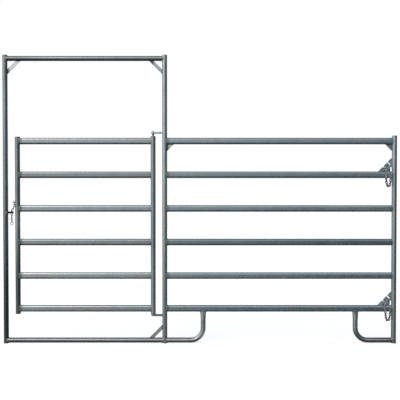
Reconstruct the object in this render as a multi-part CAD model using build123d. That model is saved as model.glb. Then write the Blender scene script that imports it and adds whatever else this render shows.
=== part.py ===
from build123d import *
import os
from math import atan2, cos, pi, radians, sin

# Galvanised tubular fence panel with a framed gate.
# The fence runs along X with the gateway at the left, Y points to the back and Z up.
# The origin is the centre of the hinge post's foot, on the ground. Millimetres.

# Layout along the fence
GATEWAY_WIDTH = 1175.0
PANEL_WIDTH = 1711.0
LATCH_GAP = 54.0
HINGE_REACH = 88.0

# Heights above the ground
FRAME_HEIGHT = 2195.0
HEADER_DROP = 7.0
GROUND_CLEARANCE = 4.0
LOWEST_RAIL_HEIGHT = 266.0
LOWEST_PITCH = 251.0
RAIL_PITCH = 256.5
RAIL_COUNT = 6
POST_STAND = 16.0
STILE_STAND = 8.0
STILE_DROP = 16.0

# Tubes
POST_DIAMETER = 38.0
POST_WALL = 2.0
RAIL_HEIGHT = 50.0
RAIL_DEPTH = 30.0
RAIL_WALL = 1.5
CAP_THICKNESS = 3.0
POST_FOOT_THICKNESS = 5.0
CAP_CHAMFER = 1.0

# Welded joints: the space that the weld fills between two pieces
SEAT_GAP = 0.3

# Flat bars and plates
BRACE_LEG = 98.0
BRACE_WIDTH = 26.0
BRACE_THICKNESS = 6.0
GUSSET_LEG = 50.0
GUSSET_THICKNESS = 6.0

# Bent feet
FOOT_SETBACK = 293.0
FOOT_BEND_RADIUS = 95.0
FOOT_END_DEPTH = 26.0
FOOT_FLARE_LENGTH = 60.0

# Chain plates in the end post's corners
PLATE_LEG = 105.0
PLATE_THICKNESS = 5.0
SLOT_WIDTH = 8.0
SLOT_DEPTH = 30.0
SLOT_SHARES = (0.365, 0.683)
DRAIN_WIDTH = 11.0
DRAIN_HEIGHT = 33.0

# Hinges
HINGE_PIN_DIAMETER = 12.0
HINGE_RUNNING_GAP = 0.1
HINGE_PLAY = 0.5
ARM_WIDTH = 30.0
ARM_THICKNESS = 12.0
UPPER_ARM_RISE = 24.0
PIN_ENGAGEMENT = 40.0
BUSH_LENGTH = 30.0
BUSH_FLANGE = 4.0
NUT_ACROSS_FLATS = 18.0
NUT_HEIGHT = 10.0
PIN_END_RISE = 8.0
PIN_END_CHAMFER = 2.0

# Connector chains
LINK_WIRE = 6.0
LINK_INNER_LENGTH = 18.5
LINK_INNER_WIDTH = 8.0
LINK_GAP = 0.3
UPPER_CHAIN_LINKS = 12
LOWER_CHAIN_LINKS = 12
CHAIN_END_OFFSET = 14.0
CHAIN_END_DROP = 4.0

# First guess of a connector chain's hang: lean of its first link, lowest point's share, tension in links
CHAIN_LEAN_GUESS = 59.0
CHAIN_LOWEST_SHARE = 0.6
CHAIN_TENSION_SHARE = 0.8
CHAIN_HANG_ROUNDS = 30
CHAIN_NUDGE_SHARE = 1e-4
CHAIN_STEP_SHARE = 0.3

# Latch chain, its staple, ring and keeper
LATCH_WIRE = 4.0
LATCH_INNER_LENGTH = 18.0
LATCH_INNER_WIDTH = 5.6
STAPLE_HEIGHT = 1076.0
STAPLE_WIRE = 4.0
STAPLE_RISE = 11.0
LATCH_STANDOFF = 1.0
LATCH_LEAN = 33.0
HANGING_LINKS = 2
LEANING_LINKS = 2
TAIL_LINKS = 4
RING_DIAMETER = 25.0
KEEPER_THICKNESS = 5.0
KEEPER_DROP = 16.0
KEEPER_FRONT = 22.0
KEEPER_BACK = 18.0
KEEPER_SLOT_WIDTH = 6.0
KEEPER_SLOT_BACK = 8.0
KEEPER_LIP = 9.0
KEEPER_START_SHARE = 0.5

# Bent wire is drawn with flat sides: sides of its section, chords in a link's half turn and in half a ring
WIRE_SIDES = 6
HALF_TURN_CHORDS = 4
RING_HALF_CHORDS = 8

# Cuts run this far past the faces that they open
OVERRUN = 2.0

# Places worked out from the sizes above
POST_RADIUS = POST_DIAMETER / 2
HINGE_POST_X = 0.0
LATCH_POST_X = -(GATEWAY_WIDTH + POST_DIAMETER)
END_POST_X = PANEL_WIDTH + POST_DIAMETER
HINGE_AXIS_X = -HINGE_REACH
LATCH_STILE_X = LATCH_POST_X + POST_DIAMETER + LATCH_GAP
RAIL_HEIGHTS = [LOWEST_RAIL_HEIGHT]
for rail_index in range(RAIL_COUNT - 1):
    RAIL_HEIGHTS.insert(0, LOWEST_RAIL_HEIGHT + LOWEST_PITCH + rail_index * RAIL_PITCH)
TOP_RAIL_TOP = RAIL_HEIGHTS[0] + RAIL_HEIGHT / 2
LOWEST_RAIL_BOTTOM = LOWEST_RAIL_HEIGHT - RAIL_HEIGHT / 2
PANEL_POST_TOP = TOP_RAIL_TOP + POST_STAND
STILE_TOP = TOP_RAIL_TOP + STILE_STAND
STILE_BOTTOM = LOWEST_RAIL_BOTTOM - STILE_DROP
HEADER_Z = FRAME_HEIGHT - HEADER_DROP - POST_RADIUS
SILL_Z = GROUND_CLEARANCE + POST_RADIUS
LOWER_ARM_TOP = STILE_BOTTOM - BUSH_FLANGE - HINGE_PLAY
UPPER_ARM_BOTTOM = STILE_TOP + UPPER_ARM_RISE


def round_tube_section():
    """Ring section of the posts, stiles, header, sill and feet."""
    return Circle(POST_RADIUS) - Circle(POST_RADIUS - POST_WALL)


def oval_section(grow):
    """Flat-sided oval of the rails, grown by the given amount on every side, long side upright."""
    return SlotOverall(RAIL_HEIGHT + 2 * grow, RAIL_DEPTH + 2 * grow, rotation=90)


def upright_tube(x, bottom, top):
    """Round tube standing at x between two heights."""
    return extrude(Plane.XY.offset(bottom) * Pos(x, 0) * round_tube_section(), top - bottom)


def upright_cut(x):
    """Solid that copes a tube's end to the upright at x, with the weld's space."""
    cut = Circle(POST_RADIUS + SEAT_GAP)
    return extrude(Plane.XY * Pos(x, 0) * cut, FRAME_HEIGHT + OVERRUN)


def disc_cap(x, tube_end, thickness, outward):
    """Flat round plate that closes a tube's end, its outer rim broken. Outward is 1 up or -1 down."""
    disc = extrude(Plane.XY.offset(tube_end) * Pos(x, 0) * Circle(POST_RADIUS), outward * thickness)
    rims = disc.edges().filter_by(GeomType.CIRCLE).sort_by(Axis.Z)
    outer_rim = rims[-1] if outward > 0 else rims[0]
    return chamfer(outer_rim, CAP_CHAMFER)


def cross_tube(section, x_left, x_right, height):
    """Level tube coped between the uprights at x_left and x_right."""
    bar = extrude(Plane.YZ.offset(x_left) * Pos(0, height) * section, x_right - x_left)
    return bar - upright_cut(x_left) - upright_cut(x_right)


def oval_rail(x_left, x_right, height):
    """Oval rail coped between two uprights."""
    return cross_tube(oval_section(0) - oval_section(-RAIL_WALL), x_left, x_right, height)


def corner_plate(points, corner_x, corner_z, toward_x, toward_z, thickness):
    """Plate in the fence's plane from points measured along X and Z from a corner."""
    outline = [(corner_x + toward_x * along, corner_z + toward_z * up) for along, up in points]
    face = make_face(Polyline(*outline, close=True))
    return extrude(Plane.XZ * face, thickness / 2, both=True)


def corner_brace(post_x, tube_z, toward_x, toward_z):
    """Flat bar at 45 degrees across the corner of a post and a level tube."""
    corner_x = post_x + toward_x * (POST_RADIUS + SEAT_GAP)
    corner_z = tube_z + toward_z * (POST_RADIUS + SEAT_GAP)
    inner_leg = BRACE_LEG - BRACE_WIDTH / sin(radians(45))
    points = [(BRACE_LEG, 0), (inner_leg, 0), (0, inner_leg), (0, BRACE_LEG)]
    return corner_plate(points, corner_x, corner_z, toward_x, toward_z, BRACE_THICKNESS)


def rail_gusset(post_x, toward_x):
    """Triangular plate under the top rail, at a post."""
    corner_x = post_x + toward_x * (POST_RADIUS + SEAT_GAP)
    corner_z = RAIL_HEIGHTS[0] - RAIL_HEIGHT / 2 - SEAT_GAP
    points = [(0, 0), (GUSSET_LEG, 0), (0, GUSSET_LEG)]
    return corner_plate(points, corner_x, corner_z, toward_x, -1, GUSSET_THICKNESS)


def foot_solid(wall, post_x, toward_x):
    """Bent foot as a solid, inset by the given wall: level run, bend, upright run, flattened end."""
    section = Circle(POST_RADIUS - wall)
    leg_x = post_x + toward_x * FOOT_SETBACK
    bend_x = leg_x - toward_x * FOOT_BEND_RADIUS
    bend_z = SILL_Z + FOOT_BEND_RADIUS
    flare_start = LOWEST_RAIL_BOTTOM - FOOT_FLARE_LENGTH
    flattened_width = FOOT_END_DEPTH + pi * (POST_DIAMETER - FOOT_END_DEPTH) / 2
    level_run = extrude(Plane.YZ.offset(post_x) * Pos(0, SILL_Z) * section, bend_x - post_x)
    bend_top = Plane.XY.offset(bend_z) * Pos(leg_x, 0) * section
    bend = revolve(bend_top, Axis((bend_x, 0, bend_z), (0, toward_x, 0)), revolution_arc=90)
    upright_run = extrude(bend_top, flare_start - bend_z)
    round_end = Plane.XY.offset(flare_start) * Pos(leg_x, 0) * section
    flat_end = SlotOverall(flattened_width - 2 * wall, FOOT_END_DEPTH - 2 * wall)
    flare = loft([round_end, Plane.XY.offset(LOWEST_RAIL_BOTTOM) * Pos(leg_x, 0) * flat_end], ruled=True)
    neck = extrude(Plane.XY.offset(LOWEST_RAIL_BOTTOM) * Pos(leg_x, 0) * flat_end, RAIL_HEIGHT / 2)
    return level_run + bend + upright_run + flare + neck


def bent_foot(post_x, toward_x):
    """Bent tube from the post's foot up to the lowest rail, coped at both ends."""
    foot = foot_solid(0, post_x, toward_x) - foot_solid(POST_WALL, post_x, toward_x)
    rail = oval_section(SEAT_GAP)
    rail_cut = extrude(Plane.YZ.offset(HINGE_POST_X) * Pos(0, LOWEST_RAIL_HEIGHT) * rail, END_POST_X)
    return foot - rail_cut - upright_cut(post_x)


def slot_mouth(share):
    """Middle of a slot's mouth on the plate's long edge, along X and Z from the plate's corner."""
    return PLATE_LEG * (1 - share), PLATE_LEG * share


def plate_corner(rail_height):
    """Corner of a chain plate, where the rail's crest meets the end post."""
    return END_POST_X - POST_RADIUS - SEAT_GAP, rail_height + RAIL_HEIGHT / 2 + SEAT_GAP


def chain_plate(rail_height):
    """Slotted triangular plate above a rail at the end post, with a drain gap in its corner."""
    corner_x, corner_z = plate_corner(rail_height)
    points = [
        (DRAIN_WIDTH, 0),
        (PLATE_LEG, 0),
        (0, PLATE_LEG),
        (0, DRAIN_HEIGHT),
        (DRAIN_WIDTH, DRAIN_HEIGHT),
    ]
    plate = corner_plate(points, corner_x, corner_z, -1, 1, PLATE_THICKNESS)
    for share in SLOT_SHARES:
        along, up = slot_mouth(share)
        slot = SlotCenterToCenter(2 * (SLOT_DEPTH - SLOT_WIDTH / 2), SLOT_WIDTH, rotation=-45)
        cut = extrude(Plane.XZ * Pos(corner_x - along, corner_z + up) * slot, PLATE_THICKNESS, both=True)
        plate = plate - cut
    return plate


def flat_sided_wire(points, wire):
    """Wire carried along a line of points, with flat sides and mitred corners."""
    path = Polyline(*points)
    section = Plane(path @ 0, z_dir=path % 0) * RegularPolygon(wire / 2, WIRE_SIDES)
    return sweep(section, path, transition=Transition.RIGHT)


def bent_wire_link(wire, inner_length, inner_width):
    """Chain link lying in XY with its length along X, its round wire drawn with flat sides."""
    bend_radius = (inner_width + wire) / 2
    bend_x = (inner_length - inner_width) / 2
    points = [(0, -bend_radius)]
    for step in range(HALF_TURN_CHORDS + 1):
        turn = pi * (step / HALF_TURN_CHORDS - 1 / 2)
        points.append((bend_x + bend_radius * cos(turn), bend_radius * sin(turn)))
    points.append((0, bend_radius))
    half = flat_sided_wire(points, wire)
    return half + mirror(half, about=Plane.YZ)


def next_link_centre(centre, direction, next_direction, wire, inner_length):
    """Centre of the link that hangs in the end of the one at centre, with a small gap between wires."""
    half_length = (inner_length + wire) / 2
    bisector = (direction + next_direction).normalized()
    return centre + direction * half_length - bisector * (wire + LINK_GAP) + next_direction * half_length


def placed_link(link, centre, direction, flat_normal):
    """Copy of a link at a centre, along a direction, lying flat to the given normal."""
    return Plane(origin=centre, x_dir=direction, z_dir=flat_normal) * link


def hinge_arm(bottom):
    """Flat bar from the hinge post to the swing axis, with a round end and the pin's hole."""
    bar = Pos(HINGE_AXIS_X / 2, 0) * Rectangle(HINGE_REACH, ARM_WIDTH)
    outline = bar + Pos(HINGE_AXIS_X, 0) * Circle(ARM_WIDTH / 2)
    hole = Pos(HINGE_AXIS_X, 0) * Circle(HINGE_PIN_DIAMETER / 2 + HINGE_RUNNING_GAP)
    return extrude(Plane.XY.offset(bottom) * (outline - hole), ARM_THICKNESS) - upright_cut(HINGE_POST_X)


def axis_cylinder(radius, bottom, top):
    """Round bar on the swing axis between two heights."""
    return extrude(Plane.XY.offset(bottom) * Pos(HINGE_AXIS_X, 0) * Circle(radius), top - bottom)


def axis_hexagon(bottom, height):
    """Hexagonal prism on the swing axis."""
    hexagon = RegularPolygon(NUT_ACROSS_FLATS / 2, 6, major_radius=False)
    return extrude(Plane.XY.offset(bottom) * Pos(HINGE_AXIS_X, 0) * hexagon, height)


def hinge_bush(end, inward):
    """Flanged bush in the end of the hinge stile, bored for the pin. Inward is 1 up or -1 down."""
    flange_low, flange_high = sorted((end, end - inward * BUSH_FLANGE))
    plug_low, plug_high = sorted((end, end + inward * BUSH_LENGTH))
    flange = axis_cylinder(POST_RADIUS, flange_low, flange_high)
    plug = axis_cylinder(POST_RADIUS - POST_WALL - HINGE_RUNNING_GAP, plug_low, plug_high)
    bore_low = min(flange_low, plug_low) - OVERRUN
    bore_high = max(flange_high, plug_high) + OVERRUN
    bore = axis_cylinder(HINGE_PIN_DIAMETER / 2 + HINGE_RUNNING_GAP, bore_low, bore_high)
    return flange + plug - bore


def latch_chain_layout():
    """Centres and directions of the latch chain's links from the staple down to the tail."""
    down = Vector(0, 0, -1)
    lean = Vector(-sin(radians(LATCH_LEAN)), 0, -cos(radians(LATCH_LEAN)))
    directions = [down] * HANGING_LINKS + [lean] * LEANING_LINKS + [down] * (TAIL_LINKS + 1)
    first_drop = (LATCH_INNER_LENGTH - STAPLE_WIRE) / 2 - LINK_GAP
    chain_x = LATCH_STILE_X - POST_RADIUS - LATCH_STANDOFF - LATCH_INNER_WIDTH / 2 - LATCH_WIRE
    centres = [Vector(chain_x, 0, STAPLE_HEIGHT - first_drop)]
    for direction, following in zip(directions, directions[1:]):
        centre = next_link_centre(centres[-1], direction, following, LATCH_WIRE, LATCH_INNER_LENGTH)
        centres.append(centre)
    return centres, directions


def latch_chain():
    """Latch chain: every other link is turned edge on, the one in the keeper too."""
    link = bent_wire_link(LATCH_WIRE, LATCH_INNER_LENGTH, LATCH_INNER_WIDTH)
    links = []
    centres, directions = latch_chain_layout()
    for index, (centre, direction) in enumerate(zip(centres, directions)):
        across = Vector(0, 1, 0)
        flat_normal = across.cross(direction) if index % 2 == 0 else across
        links.append(placed_link(link, centre, direction, flat_normal))
    return Compound(links)


def chain_staple():
    """Staple on the latch stile: a lower leg that carries the chain, a bend and an upper leg."""
    centres, _ = latch_chain_layout()
    bend_radius = STAPLE_RISE / 2
    bend_x = centres[0].X - LATCH_WIRE / 2 - LATCH_STANDOFF - STAPLE_WIRE / 2
    points = [(LATCH_STILE_X, 0, STAPLE_HEIGHT)]
    for step in range(HALF_TURN_CHORDS + 1):
        turn = pi * (step / HALF_TURN_CHORDS - 1 / 2)
        rise = bend_radius * (1 + sin(turn))
        points.append((bend_x - bend_radius * cos(turn), 0, STAPLE_HEIGHT + rise))
    points.append((LATCH_STILE_X, 0, STAPLE_HEIGHT + STAPLE_RISE))
    return flat_sided_wire(points, STAPLE_WIRE) - upright_cut(LATCH_STILE_X)


def keeper_centre():
    """Centre of the latch chain's link that stands in the keeper's slot."""
    centres, _ = latch_chain_layout()
    return centres[HANGING_LINKS + LEANING_LINKS]


def latch_keeper():
    """Short angle on the latch post: a level leaf with a slot open to the front, and a back leaf."""
    centre = keeper_centre()
    top = centre.Z + KEEPER_THICKNESS / 2
    tip = centre.X + KEEPER_LIP
    outline = [
        (-KEEPER_FRONT, top),
        (KEEPER_BACK, top),
        (KEEPER_BACK, top - KEEPER_DROP),
        (KEEPER_BACK - KEEPER_THICKNESS, top - KEEPER_DROP),
        (KEEPER_BACK - KEEPER_THICKNESS, top - KEEPER_THICKNESS),
        (-KEEPER_FRONT, top - KEEPER_THICKNESS),
    ]
    profile = make_face(Polyline(*outline, close=True))
    start = LATCH_POST_X + KEEPER_START_SHARE * POST_RADIUS
    angle = extrude(Plane.YZ.offset(start) * profile, tip - start)
    slot_length = KEEPER_FRONT + KEEPER_SLOT_BACK + OVERRUN
    slot_middle = KEEPER_SLOT_BACK - slot_length / 2
    slot = Pos(centre.X, slot_middle) * Rectangle(KEEPER_SLOT_WIDTH, slot_length)
    cut = extrude(Plane.XY.offset(centre.Z) * slot, KEEPER_THICKNESS, both=True)
    return angle - cut - upright_cut(LATCH_POST_X)


def latch_ring():
    """Pull ring in the chain's last link, turned to face the front."""
    centres, _ = latch_chain_layout()
    ring_radius = (RING_DIAMETER - LATCH_WIRE) / 2
    drop = (LATCH_INNER_LENGTH - LATCH_WIRE) / 2 - LINK_GAP
    half_chord = pi / (2 * RING_HALF_CHORDS)
    flat_radius = ring_radius * cos(half_chord)
    points = [(0, -flat_radius)]
    for step in range(RING_HALF_CHORDS):
        turn = half_chord * (2 * step + 1) - pi / 2
        points.append((ring_radius * cos(turn), ring_radius * sin(turn)))
    points.append((0, flat_radius))
    half = flat_sided_wire(points, LATCH_WIRE)
    ring = half + mirror(half, about=Plane.YZ)
    centre = centres[-1] - Vector(0, 0, drop + flat_radius)
    return Plane(origin=centre, x_dir=(1, 0, 0), z_dir=(0, -1, 0)) * ring


def connector_chain_layout(rail_height, hanging_links):
    """Centres, directions and flat normals of a connector chain's links, slot end first.

    The first link stands in the plate's lower slot with one link behind the plate. In front,
    the chain leans out past the rail and hangs as a catenary back up to its welded last link.
    """
    corner_x, corner_z = plate_corner(rail_height)
    along, up = slot_mouth(SLOT_SHARES[0])
    diagonal = cos(radians(45))
    seat = SLOT_DEPTH - LINK_INNER_WIDTH / 2 - LINK_WIRE - LINK_GAP
    slot_x = corner_x - along + seat * diagonal
    slot_z = corner_z + up - seat * diagonal
    edge_reach = (LINK_INNER_WIDTH + LINK_WIRE) / 2 * diagonal + LINK_WIRE / 2
    hang_y = -(RAIL_DEPTH / 2 + SEAT_GAP + edge_reach)
    end = Vector(END_POST_X - POST_RADIUS - CHAIN_END_OFFSET, hang_y, rail_height - CHAIN_END_DROP)
    front = Vector(0, -1, 0)
    up_turn = Vector(0, 0, 1)

    def hang(lean, lowest, tension):
        """Centres and directions for a lean of the first front link and a catenary's two shape values."""
        directions = [front, Vector(0, -sin(lean), -cos(lean))]
        for index in range(hanging_links):
            slope = atan2(index - lowest, tension)
            directions.append(Vector(cos(slope), 0, sin(slope)))
        directions.append(up_turn)
        centres = [Vector(slot_x, 0, slot_z)]
        for direction, following in zip(directions, directions[1:]):
            centre = next_link_centre(centres[-1], direction, following, LINK_WIRE, LINK_INNER_LENGTH)
            centres.append(centre)
        return centres, directions

    values = [radians(CHAIN_LEAN_GUESS), hanging_links * CHAIN_LOWEST_SHARE, CHAIN_TENSION_SHARE]
    for _ in range(CHAIN_HANG_ROUNDS):
        values = closer_values(lambda guess: hang(*guess)[0][-1] - end, values)
    return hang(*values)


def closer_values(miss, values):
    """One Newton step on three values so that a three-part miss goes to zero."""
    start = miss(values)
    columns = []
    for index in range(3):
        nudged = list(values)
        nudged[index] += CHAIN_NUDGE_SHARE
        columns.append((miss(nudged) - start) * (1 / CHAIN_NUDGE_SHARE))
    volume = columns[0].dot(columns[1].cross(columns[2]))
    changes = [
        start.dot(columns[1].cross(columns[2])) / volume,
        start.dot(columns[2].cross(columns[0])) / volume,
        start.dot(columns[0].cross(columns[1])) / volume,
    ]
    largest = max(abs(change) for change in changes)
    damping = min(1, CHAIN_STEP_SHARE / largest) if largest else 1
    return [value - damping * change for value, change in zip(values, changes)]


def connector_chain(rail_height, hanging_links):
    """Chain from the plate's slot round to its welded end, each link turned 45 degrees to the rail."""
    link = bent_wire_link(LINK_WIRE, LINK_INNER_LENGTH, LINK_INNER_WIDTH)
    centres, directions = connector_chain_layout(rail_height, hanging_links)
    slot_run = Vector(1, 0, -1).normalized()
    back = Vector(0, 1, 0)
    behind_y = (PLATE_THICKNESS + LINK_WIRE) / 2 + LINK_GAP
    behind = centres[0] + slot_run * ((LINK_INNER_LENGTH + LINK_WIRE) / 2) + back * behind_y
    links = [placed_link(link, centres[0], directions[0], directions[0].cross(slot_run))]
    links.append(placed_link(link, behind, slot_run, back))
    for index in range(1, len(centres)):
        direction = directions[index]
        sideways = direction.cross(back).normalized()
        outward = sideways.cross(direction).normalized()
        sense = 1 if index % 2 else -1
        links.append(placed_link(link, centres[index], direction, outward + sideways * sense))
    return Compound(links)


def make_nodes():
    """All pieces by name."""
    nodes = {
        "latch_post": upright_tube(LATCH_POST_X, POST_FOOT_THICKNESS, FRAME_HEIGHT - CAP_THICKNESS),
        "hinge_post": upright_tube(HINGE_POST_X, POST_FOOT_THICKNESS, FRAME_HEIGHT - CAP_THICKNESS),
        "end_post": upright_tube(END_POST_X, POST_FOOT_THICKNESS, PANEL_POST_TOP - CAP_THICKNESS),
        "post_caps": Compound([
            disc_cap(LATCH_POST_X, FRAME_HEIGHT - CAP_THICKNESS, CAP_THICKNESS, 1),
            disc_cap(HINGE_POST_X, FRAME_HEIGHT - CAP_THICKNESS, CAP_THICKNESS, 1),
            disc_cap(END_POST_X, PANEL_POST_TOP - CAP_THICKNESS, CAP_THICKNESS, 1),
        ]),
        "post_feet": Compound([
            disc_cap(post_x, POST_FOOT_THICKNESS, POST_FOOT_THICKNESS, -1)
            for post_x in (LATCH_POST_X, HINGE_POST_X, END_POST_X)
        ]),
        "header_tube": cross_tube(round_tube_section(), LATCH_POST_X, HINGE_POST_X, HEADER_Z),
        "sill_tube": cross_tube(round_tube_section(), LATCH_POST_X, HINGE_POST_X, SILL_Z),
        "header_latch_brace": corner_brace(LATCH_POST_X, HEADER_Z, 1, -1),
        "header_hinge_brace": corner_brace(HINGE_POST_X, HEADER_Z, -1, -1),
        "sill_brace": corner_brace(HINGE_POST_X, SILL_Z, -1, 1),
        "panel_hinge_gusset": rail_gusset(HINGE_POST_X, 1),
        "panel_end_gusset": rail_gusset(END_POST_X, -1),
        "bent_feet": Compound([bent_foot(HINGE_POST_X, 1), bent_foot(END_POST_X, -1)]),
        "upper_chain_plate": chain_plate(RAIL_HEIGHTS[1]),
        "lower_chain_plate": chain_plate(LOWEST_RAIL_HEIGHT),
        "upper_connector_chain": connector_chain(RAIL_HEIGHTS[1], UPPER_CHAIN_LINKS),
        "lower_connector_chain": connector_chain(LOWEST_RAIL_HEIGHT, LOWER_CHAIN_LINKS),
        "upper_hinge_arm": hinge_arm(UPPER_ARM_BOTTOM),
        "lower_hinge_arm": hinge_arm(LOWER_ARM_TOP - ARM_THICKNESS),
        "latch_keeper": latch_keeper(),
        "gate_latch_stile": upright_tube(
            LATCH_STILE_X, STILE_BOTTOM + CAP_THICKNESS, STILE_TOP - CAP_THICKNESS
        ),
        "gate_hinge_stile": upright_tube(HINGE_AXIS_X, STILE_BOTTOM, STILE_TOP),
        "gate_stile_caps": Compound([
            disc_cap(LATCH_STILE_X, STILE_BOTTOM + CAP_THICKNESS, CAP_THICKNESS, -1),
            disc_cap(LATCH_STILE_X, STILE_TOP - CAP_THICKNESS, CAP_THICKNESS, 1),
        ]),
        "upper_hinge_bush": hinge_bush(STILE_TOP, -1),
        "lower_hinge_bush": hinge_bush(STILE_BOTTOM, 1),
        "chain_staple": chain_staple(),
        "latch_chain": latch_chain(),
        "latch_ring": latch_ring(),
    }
    pin_radius = HINGE_PIN_DIAMETER / 2
    arm_top = UPPER_ARM_BOTTOM + ARM_THICKNESS
    upper_pin = axis_cylinder(pin_radius, STILE_TOP - PIN_ENGAGEMENT, arm_top + PIN_END_RISE)
    pin_rims = upper_pin.edges().filter_by(GeomType.CIRCLE).sort_by(Axis.Z)
    nodes["upper_hinge_pin"] = chamfer(pin_rims[-1], PIN_END_CHAMFER)
    nut_bore = axis_cylinder(pin_radius + HINGE_RUNNING_GAP, STILE_TOP, arm_top)
    nodes["upper_hinge_nut"] = axis_hexagon(UPPER_ARM_BOTTOM - NUT_HEIGHT, NUT_HEIGHT) - nut_bore
    pin_top = STILE_BOTTOM + PIN_ENGAGEMENT
    nodes["lower_hinge_pin"] = axis_cylinder(pin_radius, LOWER_ARM_TOP - ARM_THICKNESS, pin_top)
    for number, height in enumerate(RAIL_HEIGHTS, start=1):
        nodes[f"panel_rail_{number}"] = oval_rail(HINGE_POST_X, END_POST_X, height)
        nodes[f"gate_rail_{number}"] = oval_rail(LATCH_STILE_X, HINGE_AXIS_X, height)
    return nodes


os.makedirs("parts", exist_ok=True)
for name, shape in make_nodes().items():
    export_step(shape, f"parts/{name}.step")
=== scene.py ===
"""Looks of the galvanised fence panel with its gate: zinc finishes, weld beads, round chain and hinge bolt.

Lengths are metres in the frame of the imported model: X runs along the fence to the right, Y to the back and
Z up from the ground. The origin is the centre of the hinge post's foot.
"""

import logging
from dataclasses import dataclass, field, replace
from enum import Enum
from math import pi, radians, tan
from typing import Any, Callable, Union

import bpy
import numpy as np
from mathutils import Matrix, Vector


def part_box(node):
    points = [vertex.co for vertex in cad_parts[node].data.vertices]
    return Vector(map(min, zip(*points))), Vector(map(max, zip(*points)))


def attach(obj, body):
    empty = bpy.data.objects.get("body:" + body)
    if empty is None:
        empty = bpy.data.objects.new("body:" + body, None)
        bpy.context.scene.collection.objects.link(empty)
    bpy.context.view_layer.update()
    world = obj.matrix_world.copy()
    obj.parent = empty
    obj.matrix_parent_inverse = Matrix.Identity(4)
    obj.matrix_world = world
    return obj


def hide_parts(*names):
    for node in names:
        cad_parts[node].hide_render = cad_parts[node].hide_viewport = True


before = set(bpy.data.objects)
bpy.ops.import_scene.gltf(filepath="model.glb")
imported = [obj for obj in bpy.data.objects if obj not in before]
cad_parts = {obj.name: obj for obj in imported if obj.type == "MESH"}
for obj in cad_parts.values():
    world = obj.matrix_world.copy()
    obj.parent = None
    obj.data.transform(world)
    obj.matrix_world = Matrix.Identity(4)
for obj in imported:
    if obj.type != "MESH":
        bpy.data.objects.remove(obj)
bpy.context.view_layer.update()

LOG = logging.getLogger("fence_panel")
TURN = 2 * pi
RAIL_NUMBERS = range(1, 7)
WHITE = (1.0, 1.0, 1.0, 1.0)
Array = np.ndarray
Pair = tuple[float, float]
Triple = tuple[float, float, float]
Colour = Triple
Levels = tuple[Pair, ...]
Finishes = dict[str, bpy.types.Material]


# Shader maths


def math_operator(operation: str, reflected: bool = False) -> Callable[["Value", "Number"], "Value"]:
    """Makes one of a value's operators.

    Args:
        operation: The Math node's operation.
        reflected: Whether the value stands on the right of the other one.

    Returns:
        A method that adds the Math node.
    """
    def apply(value: "Value", other: "Number") -> "Value":
        """Adds the Math node on the value and the other one."""
        first, second = (other, value) if reflected else (value, other)
        return value.bench.node("ShaderNodeMath", {"operation": operation}, {0: first, 1: second})

    return apply


class Value:
    """A node's output socket whose arithmetic adds Math nodes."""

    __add__ = math_operator("ADD")
    __radd__ = math_operator("ADD", reflected=True)
    __sub__ = math_operator("SUBTRACT")
    __rsub__ = math_operator("SUBTRACT", reflected=True)
    __mul__ = math_operator("MULTIPLY")
    __rmul__ = math_operator("MULTIPLY", reflected=True)
    __truediv__ = math_operator("DIVIDE")
    __rtruediv__ = math_operator("DIVIDE", reflected=True)

    def __init__(self, bench: "ShaderBench", socket: bpy.types.NodeSocket) -> None:
        """Keeps the socket and the bench that adds further nodes."""
        self.bench = bench
        self.socket = socket

    def above(self, low: float, high: float) -> "Value":
        """Smooth step from 0 at low to 1 at high, which may be the smaller of the two."""
        inputs = {"Value": self, "From Min": low, "From Max": high}
        return self.bench.node("ShaderNodeMapRange", {"interpolation_type": "SMOOTHSTEP"}, inputs)


Number = Union[Value, float]


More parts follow.
